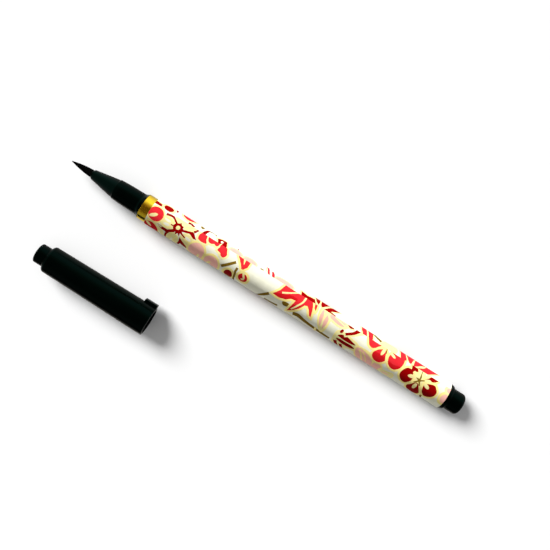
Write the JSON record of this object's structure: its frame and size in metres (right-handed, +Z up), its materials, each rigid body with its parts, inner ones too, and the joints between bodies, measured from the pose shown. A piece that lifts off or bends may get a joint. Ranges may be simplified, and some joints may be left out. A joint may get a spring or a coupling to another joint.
{
  "type": "brush pen",
  "caption": "Uncapped refillable brush pen with a pointed nylon tuft, a straight barrel wrapped in floral printed paper and a push-on cap lying beside it.",
  "frame": {"origin": "on the pen's axis, half-way along the paper-covered barrel", "axes": "+X along the pen from brush tip to tail, +Z up from the surface it lies on, +Y away from the cap"},
  "size_m": [0.1616, 0.0444, 0.011],
  "materials": {
    "black_gloss_plastic": "moulded ABS, glossy black",
    "nylon_bristle": "black nylon filaments",
    "printed_washi": "ivory washi paper screen-printed with red, pink and gold blossoms",
    "gold_metal": "polished gold-coloured band",
    "white_plastic": "extruded tube, white",
    "natural_plastic": "unpigmented polyethylene",
    "clear_plastic": "translucent polypropylene",
    "black_matte_plastic": "moulded, matt black",
    "bonded_fibre": "ink-soaked bonded fibre rod",
    "steel": "polished ball"
  },
  "bodies": {
    "barrel": {"barrel_tube": "white_plastic", "washi_wrap": "printed_washi", "barrel_socket": "black_matte_plastic", "gold_ring": "gold_metal", "tail_plug": "black_gloss_plastic"},
    "front": {"grip_section": "black_gloss_plastic", "brush_holder": "black_gloss_plastic", "tuft_retainer": "natural_plastic", "feed_core": "bonded_fibre", "ink_regulator": "black_matte_plastic", "nipple_tube": "black_matte_plastic"},
    "tuft": {"bristle_tuft": "nylon_bristle"},
    "cartridge": {"cartridge_bottle": "clear_plastic", "cartridge_neck_ring": "natural_plastic", "cartridge_end_plug": "natural_plastic"},
    "ball": {"seal_ball": "steel"},
    "cap": {"cap_shell": "black_gloss_plastic", "inner_cap": "natural_plastic"}
  },
  "joints": [
    {"name": "section_pull", "type": "slide", "parent": "barrel", "child": "front", "axis": [1, 0, 0], "range_m": [-0.095, 0]},
    {"name": "cartridge_pull", "type": "slide", "parent": "front", "child": "cartridge", "axis": [-1, 0, 0], "range_m": [-0.01, 0]},
    {"name": "tuft_bend", "type": "hinge", "parent": "front", "child": "tuft", "pos_m": [-0.08545, 0, 0], "axis": [0, 1, 0], "range_deg": [-20, 20], "stiffness_Nm_per_rad": 0.0004, "deforming": ["bristle_tuft"]},
    {"name": "cap_push_on", "type": "slide", "parent": "front", "child": "ball", "axis": [1, 0, 0], "range_m": [0, 0.0442]},
    {"name": "cap_line_up", "type": "slide", "parent": "ball", "child": "cap", "axis": [-0.8922, 0.4516, -0.0065], "range_m": [0, 0.07521]}
  ]
}
